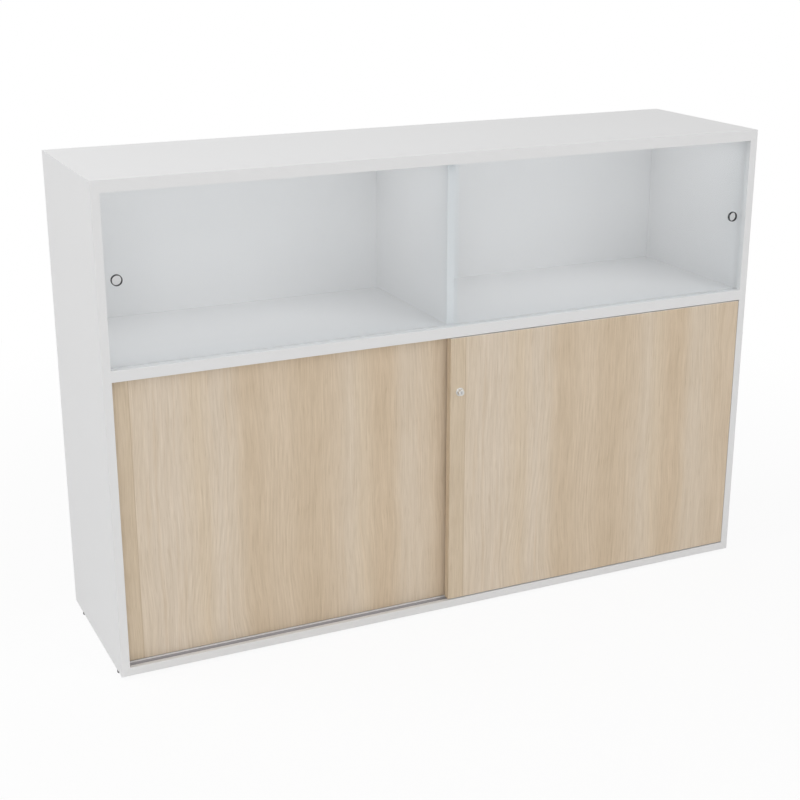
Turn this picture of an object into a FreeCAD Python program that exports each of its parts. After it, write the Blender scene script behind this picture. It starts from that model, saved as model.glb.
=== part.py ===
import FreeCAD, Part
import math
import os

# Room divider cabinet: a white board carcass with two sliding glass doors above
# and two sliding board doors below, on levelling feet.
# Sizes are in millimetres. X runs to the right, Y to the rear and Z up.
# The origin lies on the floor under the middle of the cabinet's box.

# Carcass boards
cabinet_width = 1598.0
cabinet_depth = 418.0
carcass_height = 1078.0
side_thickness = 19.0
top_thickness = 25.0
base_thickness = 19.0
fixed_shelf_thickness = 25.0
divider_thickness = 19.0
lower_bay_height = 646.5
arris_radius = 1.0

# Back panel, let into grooves of the sides, top and base
back_thickness = 8.0
back_setback = 7.0
back_groove_depth = 8.0
back_groove_play = 0.2

# Loose tongues glued into the joints between the boards
tongue_thickness = 4.0
tongue_depth = 8.0
tongue_play = 0.1
tongue_front_setback = 62.0
tongue_rear_setback = 75.0

# Inner shelves on pins, one in each lower bay
inner_shelf_thickness = 19.0
inner_shelf_play = 1.0
inner_shelf_front_gap = 2.0
pin_radius = 2.5
pin_length = 8.0
pin_fit = 0.05
pin_plate_length = 8.0
pin_plate_width = 8.0
pin_plate_height = 6.0
pin_row_setback = 37.0

# Glass doors and their plastic twin channels
glass_thickness = 4.0
glass_overlap = 30.0
glass_end_gap = 1.0
glass_lift = 0.3
glass_engagement = 5.0
glass_channel_setback = 8.7
glass_channel_wall = 1.8
glass_channel_slot = 5.1
glass_channel_web = 1.5
lower_channel_height = 6.0
upper_channel_height = 12.0
channel_play = 0.1
channel_end_gap = 0.5
glass_to_divider = 1.0

# Finger rings in the glass
ring_hole_radius = 11.0
ring_fit = 0.05
ring_bore_radius = 10.0
ring_rim_radius = 12.4
ring_rim_thickness = 1.0
ring_from_edge = 27.0

# Board doors
door_thickness = 19.0
door_overlap = 20.0
door_end_gap = 1.0
door_bottom_gap = 3.0
door_top_gap = 2.0
door_spacing = 6.0

# Aluminium channels in the base, one for each door, with a running rib and a ridge between the doors
track_setback = 10.0
track_slot = 13.0
track_wall = 1.2
track_height = 8.0
track_ridge = 2.7
rib_width = 2.4
rib_height = 2.0
track_to_bay = 3.0

# Rollers at the foot of each door
wheel_radius = 12.0
wheel_width = 5.0
groove_depth = 1.7
groove_side_gap = 0.3
wheel_run_gap = 0.3
wheel_side_gap = 0.5
wheel_housing_gap = 1.5
axle_radius = 2.0
axle_play = 0.05
axle_fit = 0.02
axle_reach = 3.0
roller_from_edge = 70.0
roller_body_radius = 20.0
roller_body_depth = 10.5
roller_flange_thickness = 2.0
roller_flange_margin = 8.0
roller_play = 0.3

# Guide rails under the fixed shelf and the blocks in the doors that run in them
rail_slot = 9.0
rail_wall = 1.2
rail_height = 12.0
guide_length = 40.0
guide_depth = 16.0
guide_reach = 8.0
guide_lead_in = 4.0
guide_rail_gap = 0.4
guide_fit = 0.1

# Push lock in the front door; its pin passes the rear door's edge
lock_stand_out = 10.0
lock_below_door_top = 127.5
lock_bezel_radius = 10.0
lock_bezel_thickness = 1.5
lock_sleeve_radius = 9.0
lock_bore_radius = 7.0
lock_back_wall = 2.5
lock_fit = 0.05
lock_head_length = 15.0
lock_pin_radius = 3.0
lock_pin_clear = 0.75
lock_tip_gap = 2.0
lock_nut_size = 24.0
lock_nut_thickness = 2.2
core_radius = 4.5
core_length = 12.0
key_slot_width = 1.4
key_slot_height = 6.6
key_slot_depth = 9.0

# Levelling feet: a plastic glide on a spindle that screws into the side
foot_height = 7.0
foot_radius = 9.5
foot_chamfer = 1.5
foot_front_setback = 40.0
foot_rear_setback = 70.0
spindle_radius = 3.0
spindle_reach = 15.0
spindle_bore_depth = 18.0
spindle_play = 0.05

# Planes of the carcass
front = lock_stand_out - (cabinet_depth + lock_stand_out) / 2
rear = front + cabinet_depth
half_width = cabinet_width / 2
inner_half = half_width - side_thickness
half_divider = divider_thickness / 2
carcass_bottom = foot_height
base_top = carcass_bottom + base_thickness
shelf_underside = base_top + lower_bay_height
shelf_top = shelf_underside + fixed_shelf_thickness
carcass_top = carcass_bottom + carcass_height
top_underside = carcass_top - top_thickness
back_front = rear - back_setback - back_thickness
back_rear = rear - back_setback

# Planes of the glass doors: the right pane runs in front of the left one
glass_channel_width = 3 * glass_channel_wall + 2 * glass_channel_slot
glass_channel_front = front + glass_channel_setback
glass_pitch = glass_channel_wall + glass_channel_slot
front_pane = glass_channel_front + glass_channel_wall + (glass_channel_slot - glass_thickness) / 2
rear_pane = front_pane + glass_pitch
pane_width = inner_half - glass_end_gap + glass_overlap / 2
pane_bottom = shelf_top - lower_channel_height + glass_channel_web + glass_lift
pane_top = top_underside + glass_engagement
pane_middle = (shelf_top + top_underside) / 2
upper_bay_front = glass_channel_front + glass_channel_width + glass_to_divider

# Planes of the board doors: the right door runs in front of the left one
door_pitch = door_thickness + door_spacing
front_door = front
rear_door = front + door_pitch
door_width = inner_half - door_end_gap + door_overlap / 2
door_bottom = base_top + door_bottom_gap
door_top = shelf_underside - door_top_gap
track_middle = track_setback + track_slot / 2
track_floor = base_top - track_height + track_wall
lower_bay_front = rear_door + track_setback + track_slot + track_wall + track_to_bay
wheel_run_radius = wheel_radius - groove_depth
axle_height = track_floor + rib_height + wheel_run_gap + wheel_run_radius

# Heights and rows of the shelf pins and feet
pin_height = (base_top + shelf_underside) / 2
inner_shelf_front = lower_bay_front + inner_shelf_front_gap
inner_shelf_underside = pin_height + pin_plate_height / 2
pin_rows = (lower_bay_front + pin_row_setback, back_front - pin_row_setback)
foot_rows = {"front": front + foot_front_setback, "rear": rear - foot_rear_setback}
foot_column = half_width - side_thickness / 2

# Lock axis, set by the rear door's free edge
rear_door_edge = door_width + door_end_gap - inner_half
lock_x = rear_door_edge + lock_pin_clear + lock_pin_radius
lock_z = door_top - lock_below_door_top
lock_head_front = front_door - lock_stand_out
lock_tip = rear_door - lock_tip_gap
front_door_back = front_door + door_thickness


def vector(x, y, z):
    return FreeCAD.Vector(x, y, z)


right_way = vector(1, 0, 0)
rear_way = vector(0, 1, 0)
up_way = vector(0, 0, 1)


def box(x, y, z):
    # A block between two values on each axis, in either order.
    low = [min(pair) for pair in (x, y, z)]
    size = [max(pair) - min(pair) for pair in (x, y, z)]
    return Part.makeBox(*size, vector(*low))


def rod(radius, start, way, length):
    return Part.makeCylinder(radius, length, start, way)


def outline(points, place):
    # A closed face through points; a pair of points is an arc through the first to the second.
    edges = []
    here = points[0]
    for step in points[1:] + [points[0]]:
        if isinstance(step[0], tuple):
            edges.append(Part.Arc(place(*here), place(*step[0]), place(*step[1])).toShape())
            here = step[1]
        else:
            edges.append(Part.makeLine(place(*here), place(*step)))
            here = step
    return Part.Face(Part.Wire(edges))


def turned(points, start, way):
    # A solid of revolution from (distance along the axis, radius) points.
    side = right_way if way.z else up_way
    face = outline(points, lambda along, radius: start + way * along + side * radius)
    return face.revolve(start, way, 360)


def along_cabinet(points, y, z):
    # A section drawn across the cabinet as (depth, height) points, drawn out between the sides.
    reach = inner_half - channel_end_gap
    face = outline(points, lambda depth, height: vector(-reach, y + depth, z + height))
    return face.extrude(right_way * 2 * reach)


def across_cabinet(points, y):
    # A section drawn as (width, height) points, drawn out between two depths.
    face = outline(points, lambda x, z: vector(x, y[0], z))
    return face.extrude(rear_way * (y[1] - y[0]))


def softened(solid, lines):
    # Rounds the edges that lie on two planes, each line given as axis, value, axis, value.
    edges = []
    for first, first_value, second, second_value in lines:
        for edge in solid.Edges:
            ends = [vertex.Point for vertex in edge.Vertexes]
            if all(abs(p[first] - first_value) + abs(p[second] - second_value) < 1e-6 for p in ends):
                edges.append(edge)
    return solid.makeFillet(arris_radius, edges)


def save(name, *solids):
    shape = solids[0] if len(solids) == 1 else Part.makeCompound(solids)
    shape.exportStep("parts/" + name + ".step")


def tongues(play):
    # The tongues between sides and lying boards and at the dividers' ends; play widens them into grooves.
    half = tongue_thickness / 2 + play
    reach = tongue_depth + play
    length = (front + tongue_front_setback - play, back_front - tongue_rear_setback + play)
    pieces = []
    for low, high in ((carcass_bottom, base_top), (shelf_underside, shelf_top), (top_underside, carcass_top)):
        middle = (low + high) / 2
        for x in (-inner_half, inner_half):
            pieces.append(box((x - reach, x + reach), length, (middle - half, middle + half)))
    for joint in (base_top, shelf_underside, shelf_top, top_underside):
        pieces.append(box((-half, half), length, (joint - reach, joint + reach)))
    return pieces


def pin_faces():
    # Each bay wall with shelf pins: its plane and the way into the bay.
    return ((-inner_half, 1), (-half_divider, -1), (half_divider, 1), (inner_half, -1))


def pin_rods(radius):
    return [
        rod(radius, vector(x, y, pin_height), right_way * -into_bay, pin_length)
        for x, into_bay in pin_faces()
        for y in pin_rows
    ]


def shelf_pins():
    # A peg in the wall with a flat plate that the shelf lies on.
    pins = []
    half_height = pin_plate_height / 2
    half_plate = pin_plate_width / 2
    places = [(x, way, y) for x, way in pin_faces() for y in pin_rows]
    for (x, way, y), peg in zip(places, pin_rods(pin_radius)):
        z = (pin_height - half_height, pin_height + half_height)
        plate = box((x, x + way * pin_plate_length), (y - half_plate, y + half_plate), z)
        pins.append(peg.fuse(plate).removeSplitter())
    return pins


def back_groove():
    # The groove for the back panel, running round the sides, top and base.
    reach = inner_half + back_groove_depth
    y = (back_front - back_groove_play, back_rear + back_groove_play)
    return box((-reach, reach), y, (base_top - back_groove_depth, top_underside + back_groove_depth))


def spindle_bores():
    return [
        rod(spindle_radius + spindle_play, vector(x, y, carcass_bottom), up_way, spindle_bore_depth)
        for x in (-foot_column, foot_column)
        for y in foot_rows.values()
    ]


def side_panel(hand):
    outer = hand * half_width
    inner = hand * inner_half
    panel = box((outer, inner), (front, rear), (carcass_bottom, carcass_top))
    lines = [(0, outer, 1, front), (0, outer, 1, rear), (0, outer, 2, carcass_top)]
    lines += [(1, front, 2, carcass_top), (1, rear, 2, carcass_top)]
    holes = pin_rods(pin_radius + pin_fit) + spindle_bores() + tongues(tongue_play)
    return softened(panel, lines).cut([back_groove()] + holes)


def lying_board(y, z, lines, cuts):
    # A board between the sides, with its named edges rounded and grooved for its tongues.
    board = box((-inner_half, inner_half), y, z)
    return softened(board, lines).cut(cuts + tongues(tongue_play))


def rebate(start, width, z):
    # A slot along a whole board for a channel that is let in flush.
    return box((-half_width, half_width), (start - channel_play, start + width + channel_play), z)


def glass_rebate(z):
    return rebate(glass_channel_front, glass_channel_width, z)


def track_starts():
    return [face + track_setback - track_wall for face in (front_door, rear_door)]


def rail_starts():
    return [face + (door_thickness - rail_slot) / 2 - rail_wall for face in (front_door, rear_door)]


def upright_divider(bay_front, z):
    panel = box((-half_divider, half_divider), (bay_front, back_front), z)
    lines = [(0, -half_divider, 1, bay_front), (0, half_divider, 1, bay_front)]
    return softened(panel, lines).cut(tongues(tongue_play) + pin_rods(pin_radius + pin_fit))


def twin_channel(height):
    # The glass channel's section: a web with three walls and two slots.
    web = math.copysign(glass_channel_web, height)
    points = [(0, 0), (glass_channel_width, 0), (glass_channel_width, height)]
    for start in (2 * glass_pitch, glass_pitch):
        slot = start - glass_channel_slot
        points += [(start, height), (start, web), (slot, web), (slot, height)]
    return points + [(0, height)]


def single_channel(slot, wall, height):
    # The section of a U channel with a flat floor.
    floor = math.copysign(wall, height)
    width = slot + 2 * wall
    inside = [(width - wall, height), (width - wall, floor), (wall, floor), (wall, height)]
    return [(0, 0), (width, 0), (width, height)] + inside + [(0, height)]


def ribbed_channel(ridge):
    # The door track's section: a U channel with a round-topped running rib along its floor
    # and a rear wall that may stand up above the base as a ridge.
    points = single_channel(track_slot, track_wall, track_height)
    for corner in (2, 3):
        depth, height = points[corner]
        points[corner] = (depth, height + ridge)
    middle = track_wall + track_slot / 2
    half_rib = rib_width / 2
    shoulder = track_wall + rib_height - half_rib
    crown = (middle, track_wall + rib_height)
    rib = [
        (middle + half_rib, track_wall),
        (middle + half_rib, shoulder),
        (crown, (middle - half_rib, shoulder)),
        (middle - half_rib, track_wall),
    ]
    return points[:5] + rib + points[5:]


def pane_face(hand):
    return front_pane if hand > 0 else rear_pane


def ring_place(hand):
    x = hand * (inner_half - glass_end_gap - ring_from_edge)
    return vector(x, pane_face(hand), pane_middle)


def glass_pane(hand):
    # A pane with its finger hole near the outer edge.
    outer = hand * (inner_half - glass_end_gap)
    y = (pane_face(hand), pane_face(hand) + glass_thickness)
    pane = box((outer, outer - hand * pane_width), y, (pane_bottom, pane_top))
    return pane.cut(rod(ring_hole_radius, ring_place(hand), rear_way, glass_thickness))


def finger_ring(hand):
    # A sleeve through the glass with a bevelled rim on each face.
    rim = ring_rim_thickness
    rim_width = ring_rim_radius - ring_bore_radius
    crest_inside = ring_bore_radius + rim_width / 3
    crest_outside = ring_rim_radius - rim_width / 3
    sleeve = ring_hole_radius - ring_fit
    profile = [
        (0, ring_bore_radius),
        (-rim, crest_inside),
        (-rim, crest_outside),
        (0, ring_rim_radius),
        (0, sleeve),
        (glass_thickness, sleeve),
        (glass_thickness, ring_rim_radius),
        (glass_thickness + rim, crest_outside),
        (glass_thickness + rim, ring_bore_radius),
    ]
    return turned(profile, ring_place(hand), rear_way)


def door_face(hand):
    return front_door if hand > 0 else rear_door


def door_span(hand):
    outer = hand * (inner_half - door_end_gap)
    return sorted((outer, outer - hand * door_width))


def roller_places(hand):
    low, high = door_span(hand)
    return (low + roller_from_edge, high - roller_from_edge)


def arch(x, radius, y):
    # A doorway shape from the door's lower edge, with a half round about the axle over it.
    points = [
        (x - radius, door_bottom),
        (x + radius, door_bottom),
        (x + radius, axle_height),
        ((x, axle_height + radius), (x - radius, axle_height)),
    ]
    return across_cabinet(points, y)


def axle_span(face):
    return (face + track_middle - wheel_width / 2 - axle_reach, face + door_thickness + roller_flange_thickness)


def axle_rod(x, face, radius):
    start, end = axle_span(face)
    return rod(radius, vector(x, start, axle_height), rear_way, end - start)


def roller_housing(x, face):
    # A flanged, arched housing let into the door's rear face, open below for the wheel.
    door_rear = face + door_thickness
    body = arch(x, roller_body_radius, (door_rear - roller_body_depth, door_rear))
    flange = arch(x, roller_body_radius + roller_flange_margin, (door_rear, door_rear + roller_flange_thickness))
    plane = face + track_middle
    half_gap = wheel_width / 2 + wheel_side_gap
    cavity = arch(x, wheel_radius + wheel_housing_gap, (plane - half_gap, plane + half_gap))
    return body.fuse(flange).cut([cavity, axle_rod(x, face, axle_radius + axle_fit)])


def wheel(x, face):
    # A wheel with a sloping groove round its tread that straddles the track's rib.
    half = wheel_width / 2
    bore = axle_radius + axle_play
    groove_floor = rib_width / 2 + groove_side_gap
    profile = [
        (-half, bore),
        (-half, wheel_radius),
        (-groove_floor, wheel_run_radius),
        (groove_floor, wheel_run_radius),
        (half, wheel_radius),
        (half, bore),
    ]
    return turned(profile, vector(x, face + track_middle, axle_height), rear_way)


def guide_block(x, face, play):
    # A block in the door's top edge with a tongue that runs in the rail; play widens it into its mortise.
    half = guide_length / 2 + play
    low = door_top - guide_depth
    high = door_top + door_top_gap + guide_reach
    points = [
        (x - half, low),
        (x + half, low),
        (x + half, high - guide_lead_in),
        (x + half - guide_lead_in, high),
        (x - half + guide_lead_in, high),
        (x - half, high - guide_lead_in),
    ]
    middle = face + door_thickness / 2
    half_width_block = rail_slot / 2 - guide_rail_gap + play
    return across_cabinet(points, (middle - half_width_block, middle + half_width_block))


def door_panel(hand):
    # A board with rounded edges, roller pockets in its foot and mortises in its top edge.
    face = door_face(hand)
    back = face + door_thickness
    low, high = door_span(hand)
    panel = box((low, high), (face, back), (door_bottom, door_top))
    lines = [(1, y, 2, z) for y in (face, back) for z in (door_bottom, door_top)]
    lines += [(1, y, 0, x) for y in (face, back) for x in (low, high)]
    cuts = []
    for x in roller_places(hand):
        cuts.append(arch(x, roller_body_radius + roller_play, (back - roller_body_depth - roller_play, back)))
        cuts.append(guide_block(x, face, guide_fit))
    if hand > 0:
        cuts.append(rod(lock_sleeve_radius + lock_fit, lock_point(face), rear_way, door_thickness))
    return softened(panel, lines).cut(cuts)


def lock_point(y):
    return vector(lock_x, y, lock_z)


def lock_sleeve():
    # The barrel: a bevelled bezel on the door's face, the plunger's bore and a wall for its pin.
    bezel = lock_bezel_thickness
    length = door_thickness + lock_nut_thickness
    wall_start = length - lock_back_wall
    profile = [
        (-bezel, lock_bore_radius),
        (-bezel, lock_bezel_radius - bezel),
        (0, lock_bezel_radius),
        (0, lock_sleeve_radius),
        (length, lock_sleeve_radius),
        (length, lock_pin_radius + lock_fit),
        (wall_start, lock_pin_radius + lock_fit),
        (wall_start, lock_bore_radius),
    ]
    return turned(profile, lock_point(front_door), rear_way)


def lock_nut():
    # The six-sided nut that clamps the sleeve from the door's rear face.
    radius = lock_nut_size / math.sqrt(3)
    corners = [
        (lock_x + radius * math.cos(math.radians(angle)), lock_z + radius * math.sin(math.radians(angle)))
        for angle in range(0, 360, 60)
    ]
    nut = across_cabinet(corners, (front_door_back, front_door_back + lock_nut_thickness))
    return nut.cut(rod(lock_sleeve_radius + lock_fit, lock_point(front_door_back), rear_way, lock_nut_thickness))


def lock_plunger():
    # The sliding head, bored for the key core, with the locking pin behind it.
    head = lock_bore_radius - lock_fit
    bore = core_radius + lock_fit
    tip = lock_tip - lock_head_front
    profile = [
        (0, bore),
        (0, head - arris_radius),
        (arris_radius, head),
        (lock_head_length, head),
        (lock_head_length, lock_pin_radius),
        (tip, lock_pin_radius),
        (tip, 0),
        (core_length, 0),
        (core_length, bore),
    ]
    return turned(profile, lock_point(lock_head_front), rear_way)


def lock_core():
    # The key core, flush with the head, with an upright key slot.
    core = rod(core_radius, lock_point(lock_head_front), rear_way, core_length)
    x = (lock_x - key_slot_width / 2, lock_x + key_slot_width / 2)
    z = (lock_z - key_slot_height / 2, lock_z + key_slot_height / 2)
    return core.cut(box(x, (lock_head_front, lock_head_front + key_slot_depth), z))


def foot_glide(x, y):
    # A plastic disc with a bevelled lower edge.
    profile = [
        (0, 0),
        (0, foot_radius - foot_chamfer),
        (foot_chamfer, foot_radius),
        (foot_height, foot_radius),
        (foot_height, 0),
    ]
    return turned(profile, vector(x, y, 0), up_way)


def foot_spindle(x, y):
    return rod(spindle_radius, vector(x, y, foot_height), up_way, spindle_reach)


def save_carcass():
    save("left_side_panel", side_panel(-1))
    save("right_side_panel", side_panel(1))
    glass_slot = glass_rebate((top_underside, top_underside + upper_channel_height))
    lines = [(1, front, 2, carcass_top), (1, rear, 2, carcass_top)]
    cuts = [back_groove(), glass_slot]
    save("top_panel", lying_board((front, rear), (top_underside, carcass_top), lines, cuts))
    lines = [(1, front, 2, shelf_underside), (1, front, 2, shelf_top)]
    cuts = [glass_rebate((shelf_top - lower_channel_height, shelf_top))]
    rail_z = (shelf_underside, shelf_underside + rail_height)
    cuts += [rebate(y, rail_slot + 2 * rail_wall, rail_z) for y in rail_starts()]
    save("fixed_shelf", lying_board((front, back_front), (shelf_underside, shelf_top), lines, cuts))
    lines = [(1, front, 2, carcass_bottom), (1, front, 2, base_top)]
    track_z = (base_top - track_height, base_top)
    cuts = [back_groove()] + [rebate(y, track_slot + 2 * track_wall, track_z) for y in track_starts()]
    save("base_panel", lying_board((front, rear), (carcass_bottom, base_top), lines, cuts))
    save("upper_divider", upright_divider(upper_bay_front, (shelf_top, top_underside)))
    save("lower_divider", upright_divider(lower_bay_front, (base_top, shelf_underside)))
    reach = inner_half + back_groove_depth - back_groove_play
    z = (base_top - back_groove_depth, top_underside + back_groove_depth - back_groove_play)
    save("back_panel", box((-reach, reach), (back_front, back_rear), z))
    save("joint_tongues", *tongues(0))


def save_inner_shelves():
    y = (inner_shelf_front, back_front - inner_shelf_play)
    z = (inner_shelf_underside, inner_shelf_underside + inner_shelf_thickness)
    lines = [(1, y[0], 2, z[0]), (1, y[0], 2, z[1])]
    for name, hand in (("left", -1), ("right", 1)):
        near = hand * (half_divider + inner_shelf_play)
        far = hand * (inner_half - inner_shelf_play)
        save(name + "_inner_shelf", softened(box((near, far), y, z), lines))
    save("shelf_pins", *shelf_pins())


def save_channels():
    upper_z = top_underside + upper_channel_height
    save("upper_glass_channel", along_cabinet(twin_channel(-upper_channel_height), glass_channel_front, upper_z))
    lower_z = shelf_top - lower_channel_height
    save("lower_glass_channel", along_cabinet(twin_channel(lower_channel_height), glass_channel_front, lower_z))
    rail = single_channel(rail_slot, rail_wall, -rail_height)
    ridges = (track_ridge, 0)
    for name, track_y, rail_y, ridge in zip(("front", "rear"), track_starts(), rail_starts(), ridges):
        save(name + "_door_track", along_cabinet(ribbed_channel(ridge), track_y, base_top - track_height))
        save(name + "_guide_rail", along_cabinet(rail, rail_y, shelf_underside + rail_height))


def save_doors():
    for name, hand in (("left", -1), ("right", 1)):
        face = door_face(hand)
        places = roller_places(hand)
        save(name + "_glass_pane", glass_pane(hand))
        save(name + "_finger_ring", finger_ring(hand))
        save(name + "_door_panel", door_panel(hand))
        save(name + "_roller_housings", *[roller_housing(x, face) for x in places])
        save(name + "_roller_axles", *[axle_rod(x, face, axle_radius) for x in places])
        save(name + "_guide_blocks", *[guide_block(x, face, 0) for x in places])
        for side, x in zip(("left", "right"), places):
            save(name + "_door_" + side + "_wheel", wheel(x, face))


def save_lock():
    save("lock_sleeve", lock_sleeve())
    save("lock_nut", lock_nut())
    save("lock_plunger", lock_plunger())
    save("lock_core", lock_core())


def save_feet():
    for row, y in foot_rows.items():
        for column, x in (("left", -foot_column), ("right", foot_column)):
            save(row + "_" + column + "_glide", foot_glide(x, y))
            save(row + "_" + column + "_spindle", foot_spindle(x, y))


os.makedirs("parts", exist_ok=True)
save_carcass()
save_inner_shelves()
save_channels()
save_doors()
save_lock()
save_feet()
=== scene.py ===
import math
import bmesh
import bpy
import numpy as np
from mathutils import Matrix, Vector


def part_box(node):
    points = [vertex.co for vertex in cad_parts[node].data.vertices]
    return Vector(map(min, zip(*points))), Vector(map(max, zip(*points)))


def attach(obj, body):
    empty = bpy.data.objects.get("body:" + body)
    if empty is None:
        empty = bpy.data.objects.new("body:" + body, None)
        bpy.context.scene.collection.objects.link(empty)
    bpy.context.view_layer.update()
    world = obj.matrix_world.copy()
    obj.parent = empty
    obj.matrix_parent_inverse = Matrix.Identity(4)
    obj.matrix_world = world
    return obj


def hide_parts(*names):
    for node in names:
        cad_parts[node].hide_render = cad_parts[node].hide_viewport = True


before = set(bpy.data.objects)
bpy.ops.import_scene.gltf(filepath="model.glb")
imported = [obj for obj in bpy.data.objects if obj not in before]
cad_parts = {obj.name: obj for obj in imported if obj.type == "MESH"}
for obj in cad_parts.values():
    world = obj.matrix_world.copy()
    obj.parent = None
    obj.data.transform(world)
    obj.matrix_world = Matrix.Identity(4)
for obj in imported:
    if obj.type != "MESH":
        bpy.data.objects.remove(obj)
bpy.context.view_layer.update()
print("frame loaded:", len(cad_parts), "nodes")


class Wire:
    # A node socket that takes part in sums, so that shader maths reads as plain expressions.
    def __init__(self, tree, socket=None):
        self.tree = tree
        self.socket = socket

    def node(self, kind, settings=None, inputs=None, output=0):
        # Adds a node of any type: its settings first, then the values or links of its sockets.
        made = self.tree.nodes.new("ShaderNode" + kind)
        for name, value in (settings or {}).items():
            if name == "stops":
                for place, colour in value[1:-1]:
                    made.color_ramp.elements.new(place)
                for element, (place, colour) in zip(made.color_ramp.elements, value):
                    element.position = place
                    element.color = (*colour, 1)
            else:
                setattr(made, name, value)
        for name, value in (inputs or {}).items():
            if isinstance(value, Wire):
                self.tree.links.new(value.socket, made.inputs[name])
            else:
                made.inputs[name].default_value = value
        return Wire(self.tree, made.outputs[output] if len(made.outputs) else None)

    def math(self, operation, *values):
        return self.node("Math", {"operation": operation}, dict(enumerate(values)))

    def __add__(self, other):
        return self.math("ADD", self, other)

    __radd__ = __add__

    def __sub__(self, other):
        return self.math("SUBTRACT", self, other)

    def __rsub__(self, other):
        return self.math("SUBTRACT", other, self)

    def __mul__(self, other):
        return self.math("MULTIPLY", self, other)

    __rmul__ = __mul__

    def __pow__(self, other):
        return self.math("POWER", self, other)

    def __gt__(self, other):
        return self.math("GREATER_THAN", self, other)

    def __lt__(self, other):
        return self.math("LESS_THAN", self, other)

    def __abs__(self):
        return self.math("ABSOLUTE", self)

    def sine(self):
        return self.math("SINE", self)

    def step(self, low, high):
        # A soft step from 0 at low to 1 at high.
        inputs = {"Value": self, "From Min": low, "From Max": high}
        return self.node("MapRange", {"interpolation_type": "SMOOTHSTEP"}, inputs)

    def mix(self, first, second):
        # A colour between two, with this value as the share of the second.
        ends = [end if isinstance(end, Wire) else (*end, 1) for end in (first, second)]
        return self.node("Mix", {"data_type": "RGBA"}, {0: self, 6: ends[0], 7: ends[1]}, 2)

    def shift(self, place=(0, 0, 0), scale=(1, 1, 1)):
        return self.node("Mapping", None, {"Vector": self, "Location": place, "Scale": scale})

    def noise(self, scale, detail=2.0, rough=0.5):
        # Noise with its own scale along each axis, in waves per metre.
        inputs = {"Vector": self.shift(scale=scale), "Scale": 1.0, "Detail": detail, "Roughness": rough}
        return self.node("TexNoise", None, inputs)

    def split(self):
        made = self.node("SeparateXYZ", None, {"Vector": self}).socket.node
        return [Wire(self.tree, made.outputs[axis]) for axis in range(3)]


def newFinish(name):
    material = bpy.data.materials.new(name)
    material.use_nodes = True
    material.node_tree.nodes.clear()
    return material, Wire(material.node_tree)


def objectPlace(pen):
    return pen.node("TexCoord", None, None, "Object")


def turnedAlong(pen, axis):
    # How squarely a face looks along an axis: 1 where it looks straight along it, 0 where it lies beside it.
    return abs(pen.node("NewGeometry", None, None, "Normal").split()[axis])


def bumped(pen, height, strength, distance):
    return pen.node("Bump", None, {"Height": height, "Strength": strength, "Distance": distance})


def principled(pen, inputs):
    return pen.node("BsdfPrincipled", None, inputs)


def grained(pen, colour, grain, s):
    # A shader whose gloss and relief both follow its grain.
    inputs = {"Base Color": colour, "Metallic": s["metal"], "Roughness": s["rough"] + s["roughGain"] * grain}
    inputs["Normal"] = bumped(pen, grain, s["relief"], s["depth"])
    return principled(pen, inputs)


def finished(pen, shader):
    pen.node("OutputMaterial", None, {"Surface": shader})


# White board: melamine with a fine pearl grain and a hairline where the front edging meets the face.
boardSettings = dict(tone=(0.798, 0.798, 0.800), shade=(0.774, 0.774, 0.776), seam=(0.66, 0.66, 0.66),
                     edging=0.0015, hairline=0.00012, across=0.5,
                     cloud=((3, 3, 3), 3.0), cloudShare=0.7,
                     pearl=((1500, 1500, 1500), 2.0, 0.6), pearlShare=0.3,
                     metal=0.0, rough=0.36, roughGain=0.12, relief=0.12, depth=0.0002)


def whiteBoard(name, front):
    s = boardSettings
    material, pen = newFinish(name)
    place = objectPlace(pen)
    cloud = place.noise(*s["cloud"])
    pearl = place.noise(*s["pearl"])
    tone = (cloud * s["cloudShare"] + pearl * s["pearlShare"]).mix(s["shade"], s["tone"])
    across = turnedAlong(pen, 1) < s["across"]
    near = abs(place.split()[1] - (front + s["edging"])) < s["hairline"]
    tone = (near * across).mix(tone, s["seam"])
    finished(pen, grained(pen, tone, pearl, s))
    return material


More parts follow.
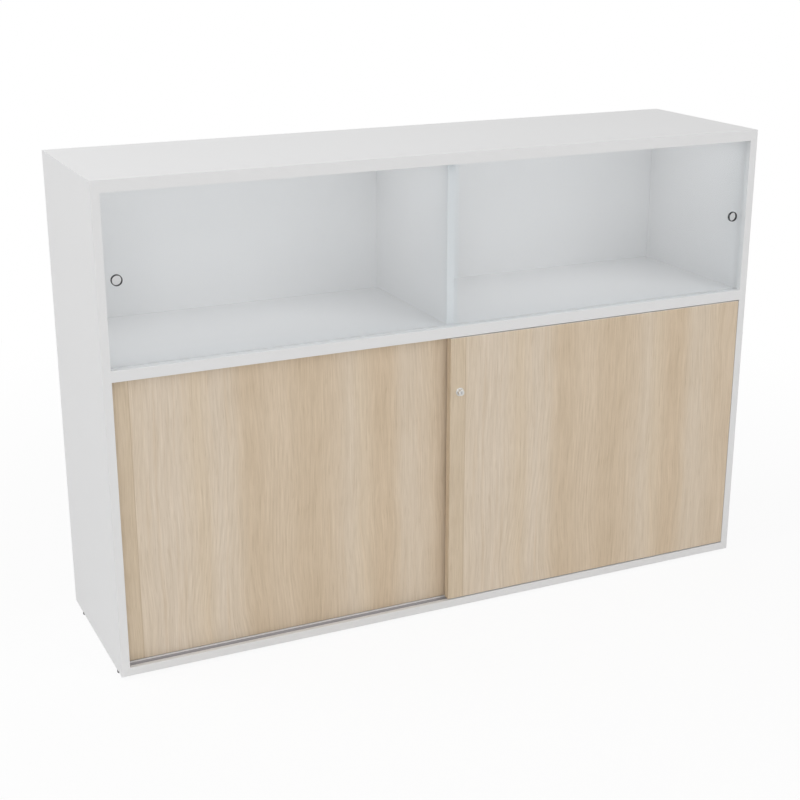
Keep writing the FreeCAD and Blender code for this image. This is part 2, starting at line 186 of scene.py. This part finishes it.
# Oak print: upright streaks in broad soft bands, a darker strip and a joint line at a door's left edge; the
# top and bottom edge faces get a lighter tone that is painted light.
# Bands are in millimetres from that edge. Each noise has its waves per metre, detail and roughness.
oakSettings = dict(width=0.789, strip=0.038, line=0.0010, lineShare=0.85, warmShare=0.45, level=0.6,
                   stripTone=(0.640, 0.522, 0.382), paintedGapLight=(0.900, 0.860, 0.800),
                   lineTone=(0.545, 0.425, 0.292), warmTone=(0.655, 0.520, 0.370),
                   grey=(0.696, 0.590, 0.470), pale=(0.687, 0.577, 0.450), yellow=(0.686, 0.565, 0.422),
                   tan=(0.664, 0.539, 0.399), brown=(0.635, 0.507, 0.364), red=(0.643, 0.509, 0.362),
                   bands=((0, "pale"), (60, "pale"), (80, "grey"), (135, "grey"), (185, "yellow"),
                          (220, "grey"), (255, "pale"), (292, "brown"), (320, "brown"), (348, "tan"),
                          (384, "tan"), (412, "brown"), (455, "brown"), (490, "tan"), (535, "pale"),
                          (565, "yellow"), (602, "red"), (630, "red"), (665, "pale"), (695, "pale"),
                          (745, "tan"), (789, "tan")),
                   slow=((6, 0, 2.4), 2.0), wave=((42, 0, 8), 3.0, 0.6), lean=((5, 0, 0.2), 1.0),
                   curl=((8, 0, 3), 1.0), patch=((15, 0, 7), 2.0), plume=((70, 30, 4.5), 3.0, 0.6),
                   streak=((200, 60, 5), 4.0, 0.70), fine=((420, 150, 14), 3.0, 0.65),
                   pore=((520, 300, 24), 1.0, 0.4), poreStep=(0.58, 0.70),
                   swell=((8, 0, 2.6), 1.0), rings=((9, 0, 1.6), 1.0), ringStep=(0.50, 0.64),
                   ringPitch=560, ringSway=60, warm=((95, 30, 3.2), 2.0), warmStep=(0.50, 0.72),
                   moves=dict(slow=0.030, wave=0.006, lean=0.16, depth=0.6, curl=0.020),
                   leanMiddle=0.45, leanHeight=0.35,
                   gains=dict(patch=0.10, plume=0.20, streak=0.42, fine=0.36, ring=0.03, pore=0.08),
                   channels=dict(X=0.85, Y=1.0, Z=1.25),
                   rough=0.47, streakRough=0.14, poreRough=0.08, fineRelief=0.5, relief=0.12, depth=0.0003)


def oakBoard(name, left, face):
    s = oakSettings
    moves = s["moves"]
    gains = s["gains"]
    material, pen = newFinish(name)
    place = objectPlace(pen).shift((-left, -face, 0))
    x, y, z = place.split()
    slow = place.noise(*s["slow"]) - 0.5
    wave = place.noise(*s["wave"]) - 0.5
    lean = (place.noise(*s["lean"]) - s["leanMiddle"]) * (z - s["leanHeight"])
    across = x + slow * moves["slow"] + wave * moves["wave"] + lean * moves["lean"] + y * moves["depth"]
    stops = [(at * 0.001 / s["width"], s[tone]) for at, tone in s["bands"]]
    broad = pen.node("ValToRGB", {"stops": stops}, {"Fac": across * (1 / s["width"])})
    curl = place.noise(*s["curl"]) - 0.5
    bent = pen.node("CombineXYZ", None, {"X": across + curl * moves["curl"], "Y": y, "Z": z})
    patch = bent.noise(*s["patch"]) - 0.5
    plume = bent.noise(*s["plume"]) - 0.5
    streak = bent.noise(*s["streak"]) - 0.5
    fine = bent.noise(*s["fine"]) - 0.5
    pore = bent.noise(*s["pore"]).step(*s["poreStep"])
    phase = across * s["ringPitch"] + (bent.noise(*s["swell"]) - 0.5) * s["ringSway"]
    ring = phase.sine() * bent.noise(*s["rings"]).step(*s["ringStep"])
    warm = bent.noise(*s["warm"]).step(*s["warmStep"])
    tone = (warm * s["warmShare"]).mix(broad, s["warmTone"])
    tone = (x < s["strip"]).mix(tone, s["stripTone"])
    gain = patch * gains["patch"] + plume * gains["plume"] + streak * gains["streak"]
    gain = gain + fine * gains["fine"] + ring * gains["ring"] - pore * gains["pore"]
    factors = {axis: 1 + gain * share for axis, share in s["channels"].items()}
    factor = pen.node("CombineXYZ", None, factors)
    tone = pen.node("VectorMath", {"operation": "MULTIPLY"}, {0: tone, 1: factor})
    onLine = abs(x - s["strip"]) < s["line"]
    tone = (onLine * s["lineShare"]).mix(tone, s["lineTone"])
    # Painted light: level edge faces, shaded in the gaps above and below the doors, take a lighter tone.
    level = turnedAlong(pen, 2) > s["level"]
    tone = level.mix(tone, s["paintedGapLight"])
    rough = s["rough"] + s["streakRough"] * streak + s["poreRough"] * pore
    normal = bumped(pen, fine * s["fineRelief"] - pore, s["relief"], s["depth"])
    finished(pen, principled(pen, {"Base Color": tone, "Roughness": rough, "Normal": normal}))
    return material


# Clear glass: a mirror that is almost wholly clear face on and closes towards grazing views.
glassSettings = dict(tint=(0.70, 0.89, 1.0), edge=(0.80, 0.93, 0.88), mirror=0.03, edgeShare=0.10, fall=5.0,
                     flat=0.5, smear=((5, 5, 9), 3.0, 0.6), smearStep=(0.45, 0.8),
                     rough=0.01, roughGain=0.03)


def clearGlass():
    s = glassSettings
    material, pen = newFinish("clearGlass")
    flat = turnedAlong(pen, 1) > s["flat"]
    tone = flat.mix(s["edge"], s["tint"])
    smear = objectPlace(pen).noise(*s["smear"]).step(*s["smearStep"])
    rough = s["rough"] + s["roughGain"] * smear
    turned = pen.node("LayerWeight", None, {"Blend": 0.5}, "Facing")
    mirror = s["mirror"] + (1 - s["mirror"]) * turned ** s["fall"]
    share = flat * mirror + (1 - flat) * s["edgeShare"]
    inputs = {"Base Color": tone, "Metallic": 1.0, "Roughness": rough, "Alpha": share}
    finished(pen, principled(pen, inputs))
    return material


# White channel plastic, drawn along the cabinet.
channelSettings = dict(tone=(0.89, 0.89, 0.89), shade=(0.85, 0.85, 0.85), drawn=((4, 2200, 2200), 3.0, 0.6),
                       metal=0.0, rough=0.30, roughGain=0.15, relief=0.15, depth=0.0001)


def channelPlastic():
    s = channelSettings
    material, pen = newFinish("channelPlastic")
    drawn = objectPlace(pen).noise(*s["drawn"])
    finished(pen, grained(pen, drawn.mix(s["shade"], s["tone"]), drawn, s))
    return material


# Moulded plastics: a fine even grain on rollers, finger rings and feet.
mouldSettings = dict(grain=((2600, 2600, 2600), 3.0, 0.6), grainShare=0.6, cloud=((90, 90, 90), 2.0),
                     cloudShare=0.4, metal=0.0, roughGain=0.14, relief=0.14, depth=0.0001,
                     roller=dict(tone=(0.60, 0.595, 0.575), shade=(0.53, 0.525, 0.505), rough=0.38),
                     black=dict(tone=(0.012, 0.012, 0.013), shade=(0.007, 0.007, 0.008), rough=0.50))


def mouldedPlastic(name, kind):
    s = {**mouldSettings, **mouldSettings[kind]}
    material, pen = newFinish(name)
    place = objectPlace(pen)
    grain = place.noise(*s["grain"])
    cloud = place.noise(*s["cloud"])
    colour = (grain * s["grainShare"] + cloud * s["cloudShare"]).mix(s["shade"], s["tone"])
    finished(pen, grained(pen, colour, grain, s))
    return material


# Tracks: matt aluminium drawn along the cabinet, with painted shade in the channels and painted light on the
# ridge and rails.
trackSettings = dict(bright=(0.97, 0.95, 0.94), paintedRidgeLight=(0.90, 0.88, 0.87), paintedChannelShade=(0.56, 0.54, 0.55),
                     shade=(0.47, 0.45, 0.46), level=0.0258, drawn=((3, 2400, 2400), 3.0, 0.6),
                     metal=0.1, rough=0.42, roughGain=0.2, relief=0.12, depth=0.0001)


def trackMetal():
    s = trackSettings
    material, pen = newFinish("trackAluminium")
    place = objectPlace(pen)
    drawn = place.noise(*s["drawn"])
    # Above this height the tone is painted light, below it painted shade.
    high = place.split()[2] > s["level"]
    colour = high.mix(drawn.mix(s["shade"], s["paintedChannelShade"]), drawn.mix(s["paintedRidgeLight"], s["bright"]))
    finished(pen, grained(pen, colour, drawn, s))
    return material


# Metals: bright zinc on steel, satin nickel on the lock.
metalSettings = dict(metal=1.0, roughGain=0.2, relief=0.12, depth=0.0001,
                     steel=dict(tone=(0.66, 0.66, 0.66), shade=(0.52, 0.53, 0.54), rough=0.28,
                                drawn=((420, 420, 420), 3.0, 0.6)),
                     nickel=dict(tone=(0.74, 0.73, 0.71), shade=(0.60, 0.59, 0.57), rough=0.20,
                                 drawn=((900, 120, 900), 3.0, 0.6)))


def bareMetal(name, kind):
    s = {**metalSettings, **metalSettings[kind]}
    material, pen = newFinish(name)
    drawn = objectPlace(pen).noise(*s["drawn"])
    finished(pen, grained(pen, drawn.mix(s["shade"], s["tone"]), drawn, s))
    return material


# Tongues: birch plywood, its plies as level lines.
tongueSettings = dict(tone=(0.62, 0.47, 0.30), shade=(0.50, 0.36, 0.21), grain=((300, 12, 300), 3.0),
                      grainShare=0.7, plies=900, plyShare=0.3, rough=0.6, roughGain=0.2)


def tongueWood():
    s = tongueSettings
    material, pen = newFinish("tongueWood")
    place = objectPlace(pen)
    ply = (place.split()[2] * s["plies"]).sine() * 0.5 + 0.5
    grain = place.noise(*s["grain"])
    colour = (grain * s["grainShare"] + ply * s["plyShare"]).mix(s["shade"], s["tone"])
    rough = s["rough"] + s["roughGain"] * grain
    finished(pen, principled(pen, {"Base Color": colour, "Roughness": rough}))
    return material


finishes = dict(clear_glass=clearGlass(), channel_plastic=channelPlastic(),
                roller_plastic=mouldedPlastic("rollerPlastic", "roller"),
                black_plastic=mouldedPlastic("blackPlastic", "black"),
                track_aluminium=trackMetal(), steel=bareMetal("zincSteel", "steel"),
                lock_metal=bareMetal("nickelLock", "nickel"), tongue_wood=tongueWood())
for name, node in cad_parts.items():
    low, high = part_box(name)
    for slot in node.material_slots:
        if slot.material.name == "oak_board":
            slot.material = oakBoard(name + "Oak", low.x, low.y)
        elif slot.material.name == "white_board":
            slot.material = whiteBoard(name + "White", low.y)
        else:
            slot.material = finishes[slot.material.name]
print("finishes set")


def withMirror(line):
    # The line, then its mirror image in the middle plane, followed backwards.
    return line + [(-along, radius) for along, radius in reversed(line)]


def roundedLine(points, rounds, closed, steps=6):
    # Each corner becomes a curve: a weighted mean of the points one round before it, at it and after it.
    corners = np.array(points, float)
    before = np.roll(corners, 1, axis=0) - corners
    after = np.roll(corners, -1, axis=0) - corners
    if not closed:
        before[0] = after[0]
        after[-1] = before[-1]
    rounds = np.array(rounds, float)[:, None]
    before *= rounds / np.linalg.norm(before, axis=1, keepdims=True)
    after *= rounds / np.linalg.norm(after, axis=1, keepdims=True)
    t = np.linspace(0, 1, steps)[None, :, None]
    curve = corners[:, None] + (1 - t) ** 2 * before[:, None] + t ** 2 * after[:, None]
    if not closed:
        # An open line starts and ends on the axis, so its poles close.
        curve[0, :, 1] = 0
        curve[-1, :, 1] = 0
    return curve.reshape(-1, 2)


def turnedPiece(name, line, centre, axis, closed, sides):
    # A line of (along, radius) carried round an axis: centre + along * axis + radius * (cos, sin).
    axis = np.array(axis, float)
    side = np.roll(axis, 1)
    up = np.cross(axis, side)
    angle = np.linspace(0, 2 * math.pi, sides, endpoint=False)[None, :, None]
    along = line[:, 0][:, None, None] * axis
    around = np.cos(angle) * side + np.sin(angle) * up
    points = np.array(centre, float) + along + line[:, 1][:, None, None] * around
    return gridPiece(name, points, closed)


# Meshes: points closer than the weld join, and edges sharper than the crease angle stay sharp.
meshSettings = dict(weld=1e-7, sliver=1e-8, crease=35)


def gridPiece(name, points, closed):
    # Four-sided faces between neighbouring points of a grid that closes across, and along if it's a loop.
    s = meshSettings
    rows, sides = points.shape[:2]
    index = np.arange(rows * sides).reshape(rows, sides)
    upper = np.roll(index, -1, axis=0) if closed else index[1:]
    lower = index if closed else index[:-1]
    faces = np.stack([lower, np.roll(lower, -1, axis=1), np.roll(upper, -1, axis=1), upper], axis=-1)
    mesh = bpy.data.meshes.new(name)
    mesh.from_pydata(points.reshape(-1, 3), [], faces.reshape(-1, 4))
    work = bmesh.new()
    work.from_mesh(mesh)
    bmesh.ops.remove_doubles(work, verts=work.verts, dist=s["weld"])
    bmesh.ops.dissolve_degenerate(work, edges=work.edges, dist=s["sliver"])
    bmesh.ops.recalc_face_normals(work, faces=work.faces)
    work.to_mesh(mesh)
    work.free()
    mesh.polygons.foreach_set("use_smooth", np.ones(len(mesh.polygons), bool))
    mesh.set_sharp_from_angle(angle=math.radians(s["crease"]))
    piece = bpy.data.objects.new(name, mesh)
    bpy.context.scene.collection.objects.link(piece)
    return piece


def standFor(piece, node, body, slotName):
    piece.data.materials.append(finishes[slotName])
    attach(piece, body)
    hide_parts(node)


def middle(node):
    low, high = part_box(node)
    return (low + high) / 2, low, high


# Finger rings: a soft rim on each face of the glass and a plain sleeve between them.
ringSettings = dict(bore=0.0101, rim=0.0118, sleeve=0.01095, proud=0.0010, sides=64,
                    rounds=(0.0008, 0.0009, 0.0001, 0.00005))


def fingerRing(hand):
    s = ringSettings
    node = hand + "_finger_ring"
    centre, low, high = middle(node)
    half = (high.y - low.y) / 2
    glass = half - s["proud"]
    points = [(-half, s["bore"]), (-half, s["rim"]), (-glass, s["rim"]), (-glass, s["sleeve"])]
    line = roundedLine(withMirror(points), s["rounds"] + s["rounds"][::-1], True)
    ring = turnedPiece(hand + "FingerRing", line, centre, (0, 1, 0), True, s["sides"])
    standFor(ring, node, hand + "_glass", "black_plastic")


for hand in ("left", "right"):
    fingerRing(hand)
print("finger rings made")


# Lock: a domed bezel on a plain barrel, and a plunger with a soft front edge.
lockSettings = dict(bezel=0.0100, bezelThickness=0.0015, bezelSlope=0.0006, bezelLand=0.0004, barrel=0.0090,
                    bore=0.0070, wall=0.0025, pin=0.0030, fit=0.00005, core=0.0045, coreLength=0.0120,
                    head=0.0150, sides=96,
                    barrelRounds=(0.0003, 0.0006, 0.0002, 0.0001, 0.0001, 0.0004, 0.0002, 0.0002, 0.0002),
                    headRounds=(0.00001, 0.0002, 0.00035, 0.0011, 0.0005, 0.0004, 0.0010, 0.00001))


def lockBarrel():
    s = lockSettings
    centre, low, high = middle("lock_sleeve")
    thick = s["bezelThickness"]
    face = low.y + thick
    length = high.y - face
    pin = s["pin"] + s["fit"]
    points = [(-thick, s["bore"]), (-thick, s["bezel"] - s["bezelSlope"]), (-s["bezelLand"], s["bezel"]),
              (0, s["bezel"]), (0, s["barrel"]), (length, s["barrel"]), (length, pin),
              (length - s["wall"], pin), (length - s["wall"], s["bore"])]
    line = roundedLine(points, s["barrelRounds"], True)
    piece = turnedPiece("lockBarrel", line, (centre.x, face, centre.z), (0, 1, 0), True, s["sides"])
    standFor(piece, "lock_sleeve", "right_door", "lock_metal")


def lockHead():
    s = lockSettings
    centre, low, high = middle("lock_plunger")
    length = high.y - low.y
    head = s["bore"] - s["fit"]
    core = s["core"] + s["fit"]
    points = [(s["coreLength"], 0), (s["coreLength"], core), (0, core), (0, head), (s["head"], head),
              (s["head"], s["pin"]), (length, s["pin"]), (length, 0)]
    line = roundedLine(points, s["headRounds"], False)
    piece = turnedPiece("lockHead", line, (centre.x, low.y, centre.z), (0, 1, 0), False, s["sides"])
    standFor(piece, "lock_plunger", "lock_plunger", "lock_metal")


lockBarrel()
lockHead()
print("lock made")


# Feet: moulded glides with a soft lower edge and a shallow waist, whose heights are shares of the glide's.
glideSettings = dict(waist=0.0002, waistFrom=0.45, waistAt=0.6, sides=64,
                     rounds=(0.00001, 0.0007, 0.0008, 0.0008, 0.0003, 0.00001))


def footGlide(corner):
    s = glideSettings
    node = corner + "_glide"
    centre, low, high = middle(node)
    radius = (high.x - low.x) / 2
    height = high.z - low.z
    points = [(0, 0), (0, radius), (height * s["waistFrom"], radius),
              (height * s["waistAt"], radius - s["waist"]), (height, radius), (height, 0)]
    line = roundedLine(points, s["rounds"], False)
    name = corner.replace("_", "") + "Glide"
    piece = turnedPiece(name, line, (centre.x, centre.y, low.z), (0, 0, 1), False, s["sides"])
    standFor(piece, node, corner + "_foot", "black_plastic")


for corner in ("front_left", "front_right", "rear_left", "rear_right"):
    footGlide(corner)
print("feet made")


# Rollers: a hub, a thinner web and a grooved rim, as one closed line turned about the axle.
wheelSettings = dict(bore=0.00205, hub=0.0042, web=0.0034, rim=0.0088, run=0.0103, floor=0.0015,
                     edgeRound=0.0003, grooveRound=0.0004, steps=4, sides=72)


def rollerWheel(place):
    s = wheelSettings
    node = place + "_wheel"
    centre, low, high = middle(node)
    radius = (high.z - low.z) / 2
    half = (high.y - low.y) / 2
    web = s["web"] / 2
    points = [(-half, s["bore"]), (-half, s["hub"]), (-web, s["hub"]), (-web, s["rim"]), (-half, s["rim"]),
              (-half, radius), (-s["floor"], s["run"])]
    rounds = [s["edgeRound"]] * (len(points) - 1) + [s["grooveRound"]]
    line = roundedLine(withMirror(points), rounds + rounds[::-1], True, s["steps"])
    name = place.replace("_", "") + "Wheel"
    piece = turnedPiece(name, line, centre, (0, 1, 0), True, s["sides"])
    standFor(piece, node, node, "roller_plastic")


for place in ("left_door_left", "left_door_right", "right_door_left", "right_door_right"):
    rollerWheel(place)
print("wheels made")


def backdropRay(pen):
    # One for the rays that show the background: straight to the camera, mirrored or through glass.
    path = pen.node("LightPath").socket.node
    seen = Wire(pen.tree, path.outputs["Is Camera Ray"])
    for way in ("Is Glossy Ray", "Is Transmission Ray"):
        seen = seen.math("MAXIMUM", seen, Wire(pen.tree, path.outputs[way]))
    return seen


# Floor: plain and pale, close to white, with the object's soft shadow kept near it.
floorSettings = dict(size=30.0, tone=(0.91, 0.91, 0.91), shade=(0.89, 0.89, 0.89), rough=0.9,
                     speck=((60, 60, 60), 3.0), near=0.9, far=2.6, keep=0.09)


def paleFloor():
    s = floorSettings
    material, pen = newFinish("paleFloor")
    place = objectPlace(pen)
    tone = place.noise(*s["speck"]).mix(s["shade"], s["tone"])
    plain = principled(pen, {"Base Color": tone, "Roughness": s["rough"]})
    white = pen.node("Emission", None, {"Color": (1, 1, 1, 1), "Strength": 1.0})
    away = place.node("VectorMath", {"operation": "LENGTH"}, {0: place}, "Value")
    share = backdropRay(pen) * (1 - s["keep"] * (1 - away.step(s["near"], s["far"])))
    finished(pen, pen.node("MixShader", None, {0: share, 1: plain, 2: white}))
    # A flat square: every corner is half the size away from the middle along x and along y.
    u, v = np.meshgrid((-1, 1), (-1, 1), indexing="ij")
    points = np.stack([u, v, 0 * u], axis=-1).reshape(-1, 3) * s["size"] / 2
    mesh = bpy.data.meshes.new("paleFloor")
    mesh.from_pydata(points, [], [(0, 2, 3, 1)])
    mesh.materials.append(material)
    floor = bpy.data.objects.new("paleFloor", mesh)
    bpy.context.scene.collection.objects.link(floor)


paleFloor()
print("floor made")


# Light: an even pale surround, five large soft lamps, and weak fills behind and in the glazed bays.
# Each lamp has its place, the point it looks at, its width and height, and its power.
lightSettings = dict(
    surround=0.38, glassFaces=24,
    lamps=dict(frontLeft=((-6.0, -6.0, 3.0), (0.0, 0.0, 0.6), (5.0, 5.0), 60.0),
               viewSide=((-2.75, -5.86, 2.62), (0.0, 0.0, 0.55), (2.4, 2.4), 52.0),
               frontHigh=((3.0, -5.0, 5.5), (0.0, 0.0, 0.7), (4.5, 4.5), 100.0),
               frontRight=((5.0, -6.0, 2.6), (0.0, 0.0, 0.7), (4.0, 4.0), 40.0),
               topLeft=((-3.0, 0.4, 4.5), (-0.4, 0.0, 1.0), (3.0, 3.0), 82.0),
               backFill=((1.5, 6.0, 3.0), (0.0, 0.0, 0.6), (4.5, 4.5), 36.0),
               leftFill=((-0.395, -0.1775, 0.879), (-0.395, 0.2, 0.879), (0.74, 0.35), 0.060),
               leftEndFill=((-0.772, 0.01, 0.879), (0.0, 0.01, 0.879), (0.34, 0.34), 0.070),
               rightFill=((0.395, -0.1775, 0.879), (0.395, 0.2, 0.879), (0.74, 0.35), 0.085),
               leftTopFill=((-0.395, 0.01, 1.058), (-0.395, 0.0101, 0.7), (0.74, 0.36), 0.430),
               rightTopFill=((0.395, 0.01, 1.058), (0.395, 0.0101, 0.7), (0.74, 0.36), 0.430)))


def lightRoom():
    s = lightSettings
    world = bpy.data.worlds.new("paleRoom")
    world.use_nodes = True
    world.node_tree.nodes.clear()
    pen = Wire(world.node_tree)
    room = pen.node("Background", None, {"Color": (1, 1, 1, 1), "Strength": s["surround"]})
    white = pen.node("Background", None, {"Color": (1, 1, 1, 1), "Strength": 1.0})
    shown = pen.node("MixShader", None, {0: backdropRay(pen), 1: room, 2: white})
    pen.node("OutputWorld", None, {"Surface": shown})
    bpy.context.scene.world = world
    # Light to the divider and back crosses eight glass faces, where the default limit stops it.
    bpy.context.scene.cycles.transparent_max_bounces = s["glassFaces"]
    for name, lamp in s["lamps"].items():
        setLamp(name, *lamp)


def setLamp(name, place, target, size, power):
    lamp = bpy.data.lights.new(name + "Lamp", "AREA")
    lamp.shape = "RECTANGLE"
    lamp.size, lamp.size_y = size
    lamp.energy = power
    holder = bpy.data.objects.new(name + "Lamp", lamp)
    holder.location = place
    x, y, z = np.array(target, float) - np.array(place, float)
    holder.rotation_euler = (math.atan2(math.hypot(x, y), -z), 0, math.atan2(-x, y))
    holder.visible_camera = False
    # A fill isn't mirrored in the boards.
    holder.visible_glossy = not name.endswith("Fill")
    bpy.context.scene.collection.objects.link(holder)


lightRoom()
print("light set")


# Camera: the photograph's viewing angle.
cameraSettings = dict(place=(-1.46677, -3.03783, 1.59483), turn=25.155, down=18.540, lens=66.81,
                      sensor=36.0, near=0.05, far=100)


def setCamera():
    s = cameraSettings
    camera = bpy.data.cameras.new("viewCamera")
    camera.lens = s["lens"]
    camera.sensor_width = s["sensor"]
    camera.clip_start = s["near"]
    camera.clip_end = s["far"]
    camera.dof.use_dof = False
    holder = bpy.data.objects.new("viewCamera", camera)
    holder.location = s["place"]
    holder.rotation_euler = (math.radians(90 - s["down"]), 0, math.radians(-s["turn"]))
    bpy.context.scene.collection.objects.link(holder)
    bpy.context.scene.camera = holder
    bpy.context.scene.view_settings.view_transform = "Standard"


setCamera()
print("camera set")
